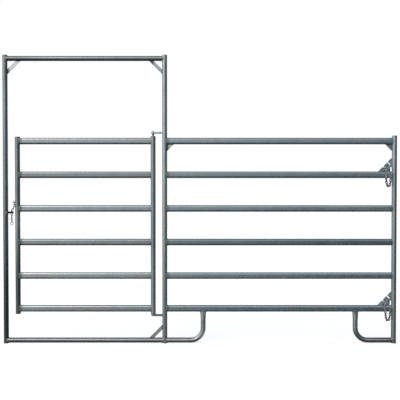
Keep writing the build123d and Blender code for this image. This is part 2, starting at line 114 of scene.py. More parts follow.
class ShaderBench:
    """Node tree of a material or the world: one method makes any node, the others are short forms of it."""

    def __init__(self, owner: bpy.types.Material | bpy.types.World) -> None:
        """Keeps the material or world and empties its tree."""
        owner.use_nodes = True
        self.owner = owner
        self.tree = owner.node_tree
        self.tree.nodes.clear()

    def node(self, kind: str, settings: dict[str, Any] | None = None,
             inputs: dict[str | int, Any] | None = None, output: str | int = 0) -> Value:
        """Adds one node.

        Args:
            kind: The node's type name.
            settings: Properties that are set first; "stops" are a colour ramp's places and colours in rising
                order, and "blend" is how the ramp goes from stop to stop.
            inputs: Numbers, colours or values for its sockets, by name or number.
            output: Name or number of the socket that is handed back.

        Returns:
            The chosen output, or that input of a node that has no outputs.
        """
        made = self.tree.nodes.new(kind)
        for name, setting in (settings or {}).items():
            if name == "stops":
                self._set_stops(made.color_ramp, setting)
            elif name == "blend":
                made.color_ramp.interpolation = setting
            else:
                setattr(made, name, setting)
        for name, value in (inputs or {}).items():
            if isinstance(value, Value):
                self.tree.links.new(value.socket, made.inputs[name])
            else:
                made.inputs[name].default_value = value
        sockets = made.outputs if len(made.outputs) else made.inputs
        return Value(self, sockets[output])

    @staticmethod
    def _set_stops(ramp: bpy.types.ColorRamp, stops: list[tuple[float, Colour]]) -> None:
        """Gives a colour ramp its stops.

        Args:
            ramp: The ramp.
            stops: Places and colours in rising order.
        """
        while len(ramp.elements) < len(stops):
            ramp.elements.new(1.0)
        for element, (place, colour) in zip(ramp.elements, stops):
            element.position = place
            element.color = (*colour, 1.0)

    def noise(self, place: Value, scale: float, detail: float) -> Value:
        """Noise at a place, of so many repeats per metre and octaves of detail."""
        return self.node("ShaderNodeTexNoise", None, {"Vector": place, "Scale": scale, "Detail": detail})

    def part(self, vector: Value, axis: str) -> Value:
        """One of a vector's three numbers."""
        return self.node("ShaderNodeSeparateXYZ", None, {0: vector}, axis)

    def grey(self, level: Value) -> Value:
        """Colour whose three numbers are the level."""
        return self.node("ShaderNodeCombineXYZ", None, {axis: level for axis in range(3)})

    def mix(self, share: Value, first: Any, second: Any) -> Value:
        """Colour that goes from the first to the second as the share goes from 0 to 1."""
        return self.node("ShaderNodeMix", {"data_type": "RGBA"}, {0: share, 6: first, 7: second}, 2)

    def vectors(self, operation: str, first: Value, second: Any, output: str = "Vector") -> Value:
        """One Vector Math node on two vectors."""
        return self.node("ShaderNodeVectorMath", {"operation": operation}, {0: first, 1: second}, output)

    def scaled(self, vector: Value, factor: Number) -> Value:
        """A vector or colour times a number."""
        return self.node("ShaderNodeVectorMath", {"operation": "SCALE"}, {0: vector, "Scale": factor})


# Finishes


class Grain(Enum):
    """Way in which the streaks of a zinc coat run, as pattern repeats per metre along X, Y and Z."""

    LEVEL = (2.5, 85.0, 85.0)
    UPRIGHT = (85.0, 85.0, 2.5)
    NONE = (30.0, 30.0, 30.0)


class Noise(Enum):
    """Noises that make up the zinc, as pattern repeats per metre and octaves of detail."""

    STREAK = (1.0, 5.0)
    CLOUD = (11.0, 3.0)
    TINT = (3.7, 2.0)
    GRIT = (620.0, 4.0)


class LevelRun(Enum):
    """Way in which the lightness goes from one height to the next, as a ramp's blend."""

    STEPPED = "CONSTANT"
    GRADUAL = "LINEAR"


@dataclass(frozen=True)
class ZincFinish:
    """Hot-dip zinc on steel: crystals, streaks, clouds, batch tone and painted light and shade by height, and
    darker ends at welds, partly painted shade.
    """

    cool: Colour = (0.412, 0.445, 0.458)
    warm: Colour = (0.460, 0.470, 0.460)
    tint_limits: Pair = (0.35, 0.65)
    grain: Grain = Grain.NONE
    metallic: float = 0.94
    roughness: float = 0.28
    crystal: float = 0.011
    crystal_share: float = 0.09
    streak_share: float = 0.24
    cloud_share: float = 0.26
    crystal_rough: float = 0.10
    streak_rough: float = 0.10
    cloud_rough: float = 0.16
    grit: float = 0.00010
    grit_strength: float = 0.5
    grit_relief: float = 0.5
    streak_relief: float = 0.5
    crystal_relief: float = 0.25
    # lightness by height: batch tone on rails, painted light and shade on uprights and chains
    batch_and_shade_levels: Levels = ()
    level_run: LevelRun = LevelRun.STEPPED
    level_top: float = 2.2
    # zones darker at welded ends: duller weld zinc and painted shade in the corners; a long reach makes a
    # tube darker towards one end
    weld_and_shade_zones: Levels = ()
    zone_reach: float = 0.030
    weld_and_shade_level: float = 0.40
    weld_rough: float = 0.14
    zone_wander: float = 0.02

    def make(self, name: str) -> bpy.types.Material:
        """Builds the material.

        Lightness is 1 plus crystals, streaks and clouds, each a share of its own noise about its middle. It
        is multiplied by a level read off the piece's height, which is batch tone on rails and painted light
        and shade on uprights and chains. It falls to the zone level in the zones at welded ends, which are
        duller weld zinc with painted shade in the corners.

        Args:
            name: The material's name.

        Returns:
            The finished material.
        """
        bench = ShaderBench(bpy.data.materials.new(name))
        place = bench.node("ShaderNodeTexCoord", output="Object")
        streak_place = bench.node("ShaderNodeMapping", None, {"Vector": place, "Scale": self.grain.value})
        streak = bench.noise(streak_place, *Noise.STREAK.value) - 0.5
        cloud = bench.noise(place, *Noise.CLOUD.value) - 0.5
        cells = {"Vector": place, "Scale": 1 / self.crystal, "Randomness": 1.0}
        crystal = bench.part(bench.node("ShaderNodeTexVoronoi", None, cells, "Color"), "X") - 0.5
        grit = bench.noise(place, *Noise.GRIT.value)
        # the zone mask and the levels by height carry painted shade and light as well as weld zinc and batch
        # tone
        weld_and_shade_mask = self._weld_and_shade_zone(bench, place, cloud)
        lightness = 1 + self.crystal_share * crystal + self.cloud_share * cloud + self.streak_share * streak
        lightness = lightness * self._batch_and_shade(bench, place) * (1 - (1 - self.weld_and_shade_level) * weld_and_shade_mask)
        tint = bench.noise(place, *Noise.TINT.value).above(*self.tint_limits)
        zinc = bench.mix(tint, (*self.cool, 1.0), (*self.warm, 1.0))
        rough = self.cloud_rough * cloud + self.crystal_rough * crystal + self.streak_rough * streak
        relief = self.grit_relief * grit + self.streak_relief * streak + self.crystal_relief * crystal
        bump = {"Strength": self.grit_strength, "Distance": self.grit, "Height": relief}
        shader = bench.node("ShaderNodeBsdfPrincipled", None, {
            "Base Color": bench.scaled(zinc, lightness),
            "Metallic": self.metallic,
            "Roughness": self.roughness + rough + self.weld_rough * weld_and_shade_mask,
            "Normal": bench.node("ShaderNodeBump", None, bump),
        })
        bench.node("ShaderNodeOutputMaterial", None, {"Surface": shader})
        return bench.owner

    def _weld_and_shade_zone(self, bench: ShaderBench, place: Value, cloud: Value) -> Number:
        """Mask of the darker zinc at welded ends: duller weld zinc, with painted shade in the corners.

        It is a zone's strength where X is at its weld and falls to 0 at the reach. Clouds break up its edge.
        A long reach makes a tube that darkens towards one end, such as the header, the sill or a foot.

        Args:
            bench: The material's bench.
            place: Object coordinates.
            cloud: Noise about 0 that breaks up the zone's edge.

        Returns:
            The mask, or 0 where the piece has no such zones.
        """
        zone: Number = 0.0
        for weld, strength in self.weld_and_shade_zones:
            along = bench.part(place, "X") - weld
            away = bench.node("ShaderNodeMath", {"operation": "ABSOLUTE"}, {0: along})
            zone = zone + strength * (away + self.zone_wander * cloud).above(self.zone_reach, 0.0)
        return zone

    def _batch_and_shade(self, bench: ShaderBench, place: Value) -> Number:
        """Lightness read off a ramp over the piece's height: batch tone on rails, painted light and shade on
        uprights and chains.

        Args:
            bench: The material's bench.
            place: Object coordinates.

        Returns:
            The lightness, or 1 where the piece has no levels by height.
        """
        if not self.batch_and_shade_levels:
            return 1.0
        stops = [(height / self.level_top, (level, level, level)) for height, level in self.batch_and_shade_levels]
        ramp = {"stops": stops, "blend": self.level_run.value}
        return bench.node("ShaderNodeValToRGB", ramp, {"Fac": bench.part(place, "Z") / self.level_top})


@dataclass(frozen=True)
class FloorFinish:
    """Plain pale floor: matt, with a soft glow of its own so that it stays pale."""

    name: str = "studio_floor"
    paint: Colour = (0.90, 0.90, 0.90)
    glow: float = 0.64

    def make(self) -> bpy.types.Material:
        """Builds the material: a matt shader and a glow, added.

        Returns:
            The finished material.
        """
        bench = ShaderBench(bpy.data.materials.new(self.name))
        matt = bench.node("ShaderNodeBsdfDiffuse", None, {"Color": (*self.paint, 1.0)})
        glow = bench.node("ShaderNodeEmission", None, {"Strength": self.glow})
        both = bench.node("ShaderNodeAddShader", None, {0: matt, 1: glow})
        bench.node("ShaderNodeOutputMaterial", None, {"Surface": both})
        return bench.owner


# Surfaces


def put(name: str, data: bpy.types.ID) -> bpy.types.Object:
    """Makes an object of a mesh, lamp or camera and links it into the scene."""
    made = bpy.data.objects.new(name, data)
    bpy.context.scene.collection.objects.link(made)
    return made


@dataclass
class Patchwork:
    """Points and faces of one piece, gathered from grids of points."""

    points: list[Array] = field(default_factory=list)
    quads: list[Array] = field(default_factory=list)
    triangles: list[Array] = field(default_factory=list)
    count: int = 0

    def add(self, grids: Array, wrap_rows: bool) -> "Patchwork":
        """Adds tube-like grids: columns go round and close, rows go along and close or end in poles.

        A point's neighbours along its row and column make a quad that faces outwards where the rows run along
        a direction t and the columns turn from n towards t cross n. At an open end a fan of triangles closes
        the last row on its middle point.

        Args:
            grids: Points of shape (grids, rows, columns, 3).
            wrap_rows: Whether the last row joins the first.

        Returns:
            The patchwork itself.
        """
        number, rows, columns, _ = grids.shape
        row = np.arange(rows if wrap_rows else rows - 1)
        column = np.arange(columns)
        here, across = np.meshgrid(row, column, indexing="ij")
        following, beside = (here + 1) % rows, (across + 1) % columns
        corners = [here * columns + across, here * columns + beside,
                   following * columns + beside, following * columns + across]
        quad = np.stack(corners, axis=-1).reshape(-1, 4)
        starts = self.count + np.arange(number) * rows * columns
        self.quads.append((quad[None] + starts[:, None, None]).reshape(-1, 4))
        self.points.append(grids.reshape(-1, 3))
        self.count += number * rows * columns
        for end, flip in () if wrap_rows else ((0, False), (rows - 1, True)):
            rim = starts[:, None] + end * columns + column[None]
            pole = np.broadcast_to(self.count + np.arange(number)[:, None], rim.shape)
            following_rim = np.roll(rim, -1, axis=1)
            fan = [pole, rim, following_rim] if flip else [pole, following_rim, rim]
            self.triangles.append(np.stack(fan, axis=-1).reshape(-1, 3))
            self.points.append(grids[:, end].mean(axis=1))
            self.count += number
        return self

    def build(self, name: str, finish: bpy.types.Material, body: str, slot: str, instead_of: str = "",
              crease: float = 0.0) -> None:
        """Makes the piece's mesh and object, and lets it ride on its body.

        Args:
            name: The piece's name.
            finish: Its material.
            body: The body that it moves with.
            slot: The record's material slot of its finish; not used.
            instead_of: The solid's node that the piece stands in for, if any.
            crease: Angle in degrees from which an edge is shaded sharp, or 0 for none.
        """
        faces = np.concatenate(self.quads).tolist()
        if self.triangles:
            faces += np.concatenate(self.triangles).tolist()
        mesh = bpy.data.meshes.new(name)
        mesh.from_pydata(np.concatenate(self.points).tolist(), [], faces)
        mesh.polygons.foreach_set("use_smooth", np.ones(len(mesh.polygons), bool))
        mesh.materials.append(finish)
        mesh.update()
        if crease:
            mesh.set_sharp_from_angle(angle=radians(crease))
        piece = put(name, mesh)
        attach(piece, body)
        if instead_of:
            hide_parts(instead_of)
        LOG.info("piece %s on %s: %d faces", name, body, len(faces))


def unit(vectors: Array) -> Array:
    """Vectors divided by their lengths."""
    return vectors / np.linalg.norm(vectors, axis=-1, keepdims=True)


def rounds(count: int) -> Array:
    """Equal angles once round."""
    return np.arange(count) * TURN / count


def points_at(x: Array | float, y: Array | float, z: Array | float) -> Array:
    """Points of the given x, y and z, where a number stands for all points."""
    return np.stack(np.broadcast_arrays(x, y, z), axis=-1)


def circle(count: int) -> Array:
    """Points of a level circle of radius 1, as their cosine, sine and 0."""
    return points_at(np.cos(rounds(count)), np.sin(rounds(count)), 0.0)


def headings(path: Array, closed: bool) -> Array:
    """Unit directions along a path, each from the point before to the point after."""
    ahead = np.roll(path, -1, axis=0) - np.roll(path, 1, axis=0) if closed else np.gradient(path, axis=0)
    return unit(ahead)


def wire_grid(path: Array, normal: Triple, radius: Array | float, columns: int, closed: bool) -> Array:
    """Round wire along a flat path.

    Each point of the path gets a circle in the plane of the path's side n and the flat's normal: the point
    plus radius (n cos v + (t cross n) sin v), where t is the path's direction and n is t turned a quarter.

    Args:
        path: Points of shape (rows, 3).
        normal: Unit normal of the flat that the path lies in.
        radius: Wire radius, or one for each row.
        columns: Points round the wire.
        closed: Whether the path closes.

    Returns:
        Points of shape (rows, columns, 3).
    """
    along = headings(path, closed)
    side = np.cross(along, normal)
    over = np.cross(along, side)
    angle = rounds(columns)[None, :, None]
    spread = np.broadcast_to(np.asarray(radius, float), (len(path),))[:, None, None]
    return path[:, None] + spread * (side[:, None] * np.cos(angle) + over[:, None] * np.sin(angle))


def turned_grid(reach: Array, angle: Array, up: Array, axis_x: float) -> Array:
    """Upright form about an axis in the fence's plane: x and y are the reach along the angle, z the height.

    Args:
        reach: Distances from the axis, of shape (rows, columns).
        angle: Angles about it, of the same shape.
        up: Heights, of the same shape, rising from row to row.
        axis_x: The axis's place along the fence.

    Returns:
        Points of shape (1, rows, columns, 3).
    """
    return points_at(axis_x + reach * np.cos(angle), reach * np.sin(angle), up)[None]


@dataclass(frozen=True)
class Seam:
    """Line of a weld: its points, the directions out of the corner there, and whether it closes."""

    points: Array
    outward: Array
    closed: bool = False


@dataclass(frozen=True)
class WeldBead:
    """Weld bead of overlapping ripples, laid along a seam."""

    half_width: float = 0.0030
    height: float = 0.0022
    pitch: float = 0.0030
    ripple_share: float = 0.22
    ripple_lean: float = 0.45
    wander_share: float = 0.14
    wander_rate: float = 61.0
    wander_seeds: Pair = (37.0, 91.0)
    tip_share: float = 0.02
    fewest_ripples: int = 3
    rows_per_ripple: int = 5
    columns: int = 9

    def lay(self, patches: Patchwork, *seams: Seam) -> None:
        """Adds a bead along each seam to a piece."""
        for seam in seams:
            patches.add(self._surface(seam)[None], seam.closed)

    def _surface(self, seam: Seam) -> Array:
        """Surface of one bead.

        A flat oval is carried along the seam, half the width to the sides and the height outwards. Its size
        is 1 plus a saw-tooth of the run along the seam, whose teeth lean back towards the bead's edges, plus
        a slow wander. An open bead's ends shrink as the root of the distance from the end.

        Args:
            seam: The line that the bead follows.

        Returns:
            Points of shape (rows, columns, 3).
        """
        points, outward = seam.points, seam.outward
        if seam.closed:
            points, outward = np.concatenate([points, points[:1]]), np.concatenate([outward, outward[:1]])
        run = np.concatenate([[0.0], np.cumsum(np.linalg.norm(np.diff(points, axis=0), axis=1))])
        ripples = max(self.fewest_ripples, round(run[-1] / self.pitch))
        rows = ripples * self.rows_per_ripple
        spots = np.arange(rows) * run[-1] / (rows if seam.closed else rows - 1)
        path = np.stack([np.interp(spots, run, points[:, axis]) for axis in range(3)], axis=-1)
        out = np.stack([np.interp(spots, run, outward[:, axis]) for axis in range(3)], axis=-1)
        along = headings(path, seam.closed)
        out = unit(out - along * (out * along).sum(axis=1, keepdims=True))
        side = np.cross(along, out)
        angle = rounds(self.columns)[None]
        phase = (spots / run[-1] * ripples)[:, None] + self.ripple_lean * np.sin(angle) ** 2
        seed = points[0, 0] * self.wander_seeds[0] + points[0, 2] * self.wander_seeds[1]
        wander = np.sin(spots * self.wander_rate + seed)[:, None]
        size = 1 + self.ripple_share * (phase % 1.0 - 0.5) + self.wander_share * wander
        if not seam.closed:
            from_end = np.minimum(spots, run[-1] - spots)
            size = size * np.sqrt(np.clip(from_end / (2 * self.half_width), self.tip_share, 1.0))[:, None]
        rise = (self.height * size * np.cos(angle))[..., None]
        spread = (self.half_width * size * np.sin(angle))[..., None]
        return path[:, None] + out[:, None] * rise + side[:, None] * spread


# Places on the fence


def middle(node: str) -> Vector:
    """Middle of a solid's box."""
    low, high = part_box(node)
    return (low + high) / 2


@dataclass(frozen=True)
class FencePlaces:
    """Places and sections that the sub-assemblies share, read off the solids' boxes, and the seams there."""

    post_radius: float
    latch_post_x: float
    hinge_post_x: float
    end_post_x: float
    latch_stile_x: float
    hinge_axis_x: float
    rail_heights: tuple[float, ...]
    rail_half_height: float
    rail_half_depth: float
    header_z: float
    sill_z: float
    ring_points: int = 120
    cap_points: int = 90
    saddle_points: int = 60
    leaf_points: int = 24
    line_points: int = 12
    saddle_half_turn: float = 1.25
    cap_sink: float = 0.0009

    @classmethod
    def from_frame(cls) -> "FencePlaces":
        """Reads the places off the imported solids.

        Returns:
            The places.
        """
        low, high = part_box("panel_rail_1")
        post_low, post_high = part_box("hinge_post")
        return cls(
            post_radius=(post_high.y - post_low.y) / 2,
            latch_post_x=middle("latch_post").x,
            hinge_post_x=middle("hinge_post").x,
            end_post_x=middle("end_post").x,
            latch_stile_x=middle("gate_latch_stile").x,
            hinge_axis_x=middle("gate_hinge_stile").x,
            rail_heights=tuple(middle(f"panel_rail_{number}").z for number in RAIL_NUMBERS),
            rail_half_height=(high.z - low.z) / 2,
            rail_half_depth=(high.y - low.y) / 2,
            header_z=middle("header_tube").z,
            sill_z=middle("sill_tube").z,
        )

    def on_upright(self, across: Array | float) -> Array:
        """Distance from an upright's axis, along the fence, of its skin at the given depths."""
        return np.sqrt(np.clip(self.post_radius ** 2 - across ** 2, 0.0, None))

    def on_rail(self, height: float, up: int, across: Array | float) -> Array:
        """Height of a rail's skin at the given depths, over the rail's middle for up 1 or under it for -1."""
        straight = self.rail_half_height - self.rail_half_depth
        return height + up * straight + up * np.sqrt(self.rail_half_depth ** 2 - across ** 2)

    def rail_seam(self, upright_x: float, side: int, height: float) -> Seam:
        """Seam of an oval rail on a round upright.

        Round the oval, y and z follow a slot of half circles and straight sides, and x is the upright's skin
        at that y. Outwards is the sum of the rail's and the upright's normals.

        Args:
            upright_x: The upright's axis.
            side: 1 where the rail runs to the right of the upright, -1 to the left.
            height: The rail's middle.

        Returns:
            The closed seam.
        """
        angle = rounds(self.ring_points)
        straight = self.rail_half_height - self.rail_half_depth
        y = self.rail_half_depth * np.cos(angle)
        z = self.rail_half_depth * np.sin(angle) + straight * np.sign(np.sin(angle).round(9))
        skin = side * self.on_upright(y)
        upright_normal = points_at(skin, y, 0.0) / self.post_radius
        rail_normal = points_at(0.0, np.cos(angle), np.sin(angle))
        points = points_at(upright_x + skin, y, height + z)
        return Seam(points, unit(upright_normal + rail_normal), closed=True)

    def round_seams(self, upright_x: float, side: int, height: float) -> list[Seam]:
        """Upper and lower seam of a level round tube on an upright of the same size.

        y is the radius times the sine of an angle that stops short of the tubes' sides, z its cosine up or
        down, and x the upright's skin at that y.

        Args:
            upright_x: The upright's axis.
            side: 1 where the tube runs to the right of the upright, -1 to the left.
            height: The tube's axis.

        Returns:
            The two open seams.
        """
        angle = np.linspace(-self.saddle_half_turn, self.saddle_half_turn, self.saddle_points)
        y = self.post_radius * np.sin(angle)
        skin = side * self.on_upright(y)
        seams = []
        for up in (1, -1):
            z = up * self.post_radius * np.cos(angle)
            seams.append(Seam(points_at(upright_x + skin, y, height + z), unit(points_at(skin, 2 * y, z))))
        return seams

    def corner_seams(self, half: float, post_x: float, side: int, rise: Pair, crest: float, up: int,
                     run: Pair) -> list[Seam]:
        """Front and back seams of a plate in the corner of a post and a level tube.

        Each seam is a straight line along the post's or the tube's skin, moved by half the plate's thickness
        to the front or the back. Outwards is halfway between that face and the way out of the corner.

        Args:
            half: Half the plate's thickness.
            post_x: The post's axis.
            side: 1 where the plate stands to the right of the post, -1 to the left.
            rise: Lower and upper end of the seams on the post.
            crest: Height of the tube's skin under the plate's faces.
            up: 1 where the plate stands on the tube, -1 where it hangs under it.
            run: Left and right end of the seams on the tube.

        Returns:
            The post's two seams and the tube's two.
        """
        skin = post_x + side * self.on_upright(half)
        legs = (((skin, 0.0, rise[0]), (skin, 0.0, rise[1]), (side, 0.0, 0.0)),
                ((run[0], 0.0, crest), (run[1], 0.0, crest), (0.0, 0.0, up)))
        seams = []
        for start, end, away in legs:
            line = np.linspace(start, end, self.line_points)
            for face in (-1.0, 1.0):
                toward = np.array([0.0, face, 0.0])
                seams.append(Seam(line + half * toward, np.broadcast_to(unit(toward + away), line.shape)))
        return seams

    def leaf_seams(self, post_x: float, side: int, reach: Pair, faces: Levels) -> list[Seam]:
        """Seams of a level leaf on a post, each across the post's skin at one height.

        Args:
            post_x: The post's axis.
            side: 1 where the leaf stands to the right of the post, -1 to the left.
            reach: Depths of the seams' front and back ends.
            faces: Height of each face, with 1 for an upper face and -1 for a lower one.

        Returns:
            A seam for each face.
        """
        y = np.linspace(*reach, self.leaf_points)
        skin = side * self.on_upright(y)
        seams = []
        for height, up in faces:
            outward = unit(points_at(skin, y, up * self.post_radius))
            seams.append(Seam(points_at(post_x + skin, y, height), outward))
        return seams

    def cap_seams(self, node: str) -> list[Seam]:
        """Level ring seams at both ends of an upright tube, sunk a little into its skin.

        Args:
            node: The tube's node.

        Returns:
            The lower and the upper seam.
        """
        low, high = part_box(node)
        ring = circle(self.cap_points)
        rim = ring * (self.post_radius - self.cap_sink)
        axis = middle(node)
        centres = [np.array([axis.x, axis.y, height]) for height in (low.z, high.z)]
        return [Seam(rim + centre, ring, closed=True) for centre in centres]


# Chain links


@dataclass(frozen=True)
class RoundLink:
    """Chain link of round wire with the swelling of its butt weld on one side."""

    wire: float
    inner_length: float
    inner_width: float
    bend_rows: int = 13
    side_rows: int = 7
    columns: int = 12
    weld_share: float = 0.16
    weld_reach_share: float = 0.7

    def template(self) -> Array:
        """Points of a link that lies flat, its length along X.

        The middle line is two half circles and two straight sides. The wire's radius swells about the middle
        of one side as a bell curve.

        Returns:
            Points of shape (rows, columns, 3).
        """
        bend = (self.inner_width + self.wire) / 2
        half = (self.inner_length - self.inner_width) / 2
        turn = np.linspace(-pi / 2, pi / 2, self.bend_rows)
        side = np.linspace(half, -half, self.side_rows + 2)[1:-1]
        x = np.concatenate([half + bend * np.cos(turn), side, -half - bend * np.cos(turn), -side])
        y = np.concatenate([bend * np.sin(turn), 0 * side + bend, -bend * np.sin(turn), 0 * side - bend])
        path = points_at(x, y, 0.0)
        swelling = np.where(y < 0, np.exp(-(x / (self.weld_reach_share * self.wire)) ** 2), 0.0)
        radius = self.wire / 2 * (1 + self.weld_share * swelling * (np.abs(x) <= half))
        return wire_grid(path, (0.0, 0.0, 1.0), radius, self.columns, True)

    def strung(self, centres: Array, axes: Array) -> Array:
        """The template at each link's centre, turned to its length, width and thickness axes."""
        return centres[:, None, None] + np.einsum("rck,nkj->nrcj", self.template(), axes)


def link_places(node: str, merge_distance: float = 1e-6) -> tuple[Array, Array]:
    """Centre and axes of each link of a chain, read off its flat-sided solids.

    Corners that share a place are joined, and each triangle passes its lowest label on until every link has
    one. A link's axes are those of its points' spread: the longest is its length, the next its width, turned
    so that the side with the weld faces the back.

    Args:
        node: The chain's node.
        merge_distance: Corners as near as this share a place.

    Returns:
        Centres of shape (links, 3) and axes of shape (links, 3, 3), one axis in each row.
    """
    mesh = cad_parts[node].data
    points = np.empty(len(mesh.vertices) * 3)
    mesh.vertices.foreach_get("co", points)
    points = points.reshape(-1, 3)
    corners = np.empty(len(mesh.loops), np.int64)
    mesh.loops.foreach_get("vertex_index", corners)
    spots = np.round(points / merge_distance)
    _, first, joined = np.unique(spots, axis=0, return_index=True, return_inverse=True)
    faces = joined.ravel()[corners].reshape(-1, 3)
    label, passed = np.empty(0), np.arange(len(first))
    while not np.array_equal(passed, label):
        label = passed
        passed = label.copy()
        np.minimum.at(passed, faces.ravel(), np.repeat(label[faces].min(axis=1), 3))
        passed = passed[passed]
    centres, axes = [], []
    for part in np.unique(label):
        own = points[first][label == part]
        centre = (own.min(axis=0) + own.max(axis=0)) / 2
        _, spread = np.linalg.eigh(np.cov((own - centre).T))
        length = spread[:, 2]
        width = spread[:, 1] * (-1.0 if spread[1, 1] > 0 else 1.0)
        centres.append(centre)
        axes.append(np.stack([length, width, np.cross(length, width)]))
    return np.array(centres), np.array(axes)


# The zinc of each piece

# Lightness of the rails from the lowest up
GATE_RAIL_LEVELS = (1.09, 1.20, 0.91, 1.09, 0.83, 1.08)
PANEL_RAIL_LEVELS = (0.92, 1.04, 0.76, 1.04, 0.91, 1.01)

# Rails that the connector chains hang at, counted from 0 at the top
CHAIN_RAILS = {"upper": 1, "lower": 5}

# Lightness of a connector chain: painted shade below its rail's underside, and painted light above it over
# the plate
CHAIN_SHADE_LEVEL = 0.55
CHAIN_LIT_LEVEL = 1.25

# Distance of the dark weld from the left end of the header's hinge-side brace
HINGE_BRACE_WELD = 0.022

# Heights and lightness of each upright: painted light and shade along its height
UPRIGHT_LIGHT_AND_SHADE: dict[str, Levels] = {
    "latch_post": ((0.0, 0.29), (0.42, 0.30), (0.64, 0.48), (0.90, 0.63), (1.17, 0.74), (1.40, 0.85),
                   (1.78, 1.00), (2.1, 0.80)),
    "hinge_post": ((0.0, 1.00), (0.40, 0.99), (0.68, 1.13), (0.95, 1.25), (1.35, 1.34), (1.80, 1.28),
                   (2.1, 1.13)),
    "end_post": ((0.0, 0.88), (0.40, 1.00), (0.68, 1.10), (0.90, 1.11), (1.30, 1.03), (1.55, 1.30)),
    "latch_stile": ((0.0, 0.55), (0.27, 0.47), (0.50, 0.45), (0.67, 0.76), (0.90, 1.18), (1.02, 0.98),
                    (1.17, 0.77), (1.41, 0.92), (1.55, 0.84)),
    "hinge_stile": ((0.0, 1.08), (0.45, 1.10), (0.70, 0.94), (1.00, 0.95), (1.55, 0.96)),
}


def make_finishes(places: FencePlaces) -> Finishes:
    """Makes every finish; rails get their batch tone, uprights and chains painted light and shade by height,
    and welded ends their dark zones of duller zinc with painted shade in the corners.

    Args:
        places: Places that the zones are measured from.

    Returns:
        The materials by name.
    """
    radius = places.post_radius
    rising = places.rail_heights[::-1]
    limits = (0.0, *((lower + upper) / 2 for lower, upper in zip(rising, rising[1:])))
    # painted shade on the chains below their rails, painted light over the plates
    undersides = [places.rail_heights[rail] - places.rail_half_height for rail in CHAIN_RAILS.values()]
    chain_light_and_shade = ((0.0, CHAIN_SHADE_LEVEL), (min(undersides), CHAIN_LIT_LEVEL),
                    (sum(undersides) / 2, CHAIN_SHADE_LEVEL), (max(undersides), CHAIN_LIT_LEVEL))
    # dark zones at welded ends: duller weld zinc, with painted shade strongest on the uprights' right sides;
    # header, sill and foot get a long reach and are darker towards one end
    latch_end = (places.latch_post_x + radius, 1.0)
    hinge_end = (places.hinge_post_x + radius, 1.0)
    far_end = (places.end_post_x - radius, 1.0)
    brace_end = (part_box("header_hinge_brace")[0].x + HINGE_BRACE_WELD, 0.75)
    gate_ends = ((places.latch_stile_x + radius, 1.0), (places.hinge_axis_x - radius, 0.25))
    panel_ends = ((places.hinge_post_x + radius, 0.7), (places.end_post_x - radius, 0.5))

    upright = ZincFinish(grain=Grain.UPRIGHT, level_run=LevelRun.GRADUAL)
    level = ZincFinish(grain=Grain.LEVEL, weld_rough=0.0)
    rail = ZincFinish(grain=Grain.LEVEL, roughness=0.29)
    bar = ZincFinish(roughness=0.44, crystal=0.007, crystal_share=0.20, zone_reach=0.022, weld_and_shade_level=0.12)
    bead = ZincFinish(crystal=0.004, grit=0.0002)
    small = ZincFinish(crystal=0.004, grit=0.00015)
    table = {
        "post": upright,
        **{name: replace(upright, batch_and_shade_levels=levels) for name, levels in UPRIGHT_LIGHT_AND_SHADE.items()},
        "gate_rail": replace(rail, cool=(0.470, 0.500, 0.515), warm=(0.510, 0.520, 0.510),
                             batch_and_shade_levels=tuple(zip(limits, GATE_RAIL_LEVELS)), weld_and_shade_zones=gate_ends),
        "panel_rail": replace(rail, cool=(0.435, 0.505, 0.540), warm=(0.475, 0.520, 0.535),
                              batch_and_shade_levels=tuple(zip(limits, PANEL_RAIL_LEVELS)), weld_and_shade_zones=panel_ends),
        "header": replace(level, cool=(0.338, 0.370, 0.384), warm=(0.378, 0.390, 0.384),
                          weld_and_shade_zones=(latch_end,), zone_reach=0.45, weld_and_shade_level=0.58),
        "sill": replace(level, cool=(0.420, 0.436, 0.438), warm=(0.460, 0.460, 0.445),
                        weld_and_shade_zones=(latch_end,), zone_reach=1.05, weld_and_shade_level=0.70),
        "foot": replace(level, cool=(0.462, 0.482, 0.488), warm=(0.505, 0.508, 0.495),
                        weld_and_shade_zones=(far_end,), zone_reach=0.34, weld_and_shade_level=0.68),
        # the braces and gussets face the same way; their lighter and darker copies of one zinc, and the end
        # gusset in the darker weld finish, are painted light and shade standing in for their different
        # reflections
        "brace": replace(bar, cool=(0.56, 0.59, 0.61), warm=(0.61, 0.62, 0.62)),
        "latch_brace": replace(bar, cool=(0.64, 0.66, 0.66), warm=(0.68, 0.68, 0.67),
                               weld_and_shade_zones=(latch_end,)),
        "hinge_brace": replace(bar, cool=(0.50, 0.52, 0.53), warm=(0.54, 0.545, 0.54),
                               weld_and_shade_zones=(brace_end,)),
        "gusset": replace(bar, cool=(0.74, 0.76, 0.76), warm=(0.78, 0.79, 0.77),
                          weld_and_shade_zones=(hinge_end,), zone_reach=0.020),
        "plate": replace(bar, cool=(0.38, 0.47, 0.52), warm=(0.46, 0.52, 0.55),
                         crystal=0.010, crystal_share=0.85),
        "weld": replace(bead, cool=(0.36, 0.39, 0.41), warm=(0.42, 0.43, 0.42), roughness=0.40),
        "dark_weld": replace(bead, cool=(0.10, 0.115, 0.115), warm=(0.13, 0.13, 0.12), roughness=0.42),
        "chain": replace(small, cool=(0.40, 0.43, 0.45), warm=(0.44, 0.45, 0.45), roughness=0.26,
                         batch_and_shade_levels=chain_light_and_shade),
        "arm": replace(small, cool=(0.27, 0.29, 0.30), warm=(0.33, 0.33, 0.32), roughness=0.36),
        # near-black on all latch parts: painted shade, as the keeper's underside and the chain in its slot
        # lie in shadow
        "latch": replace(small, cool=(0.060, 0.058, 0.056), warm=(0.085, 0.080, 0.072), roughness=0.42),
        "bolt": ZincFinish(cool=(0.13, 0.135, 0.14), warm=(0.17, 0.17, 0.165), roughness=0.38, crystal=0.005),
    }
    return {name: finish.make(f"{name}_zinc") for name, finish in table.items()}


# Sub-assemblies


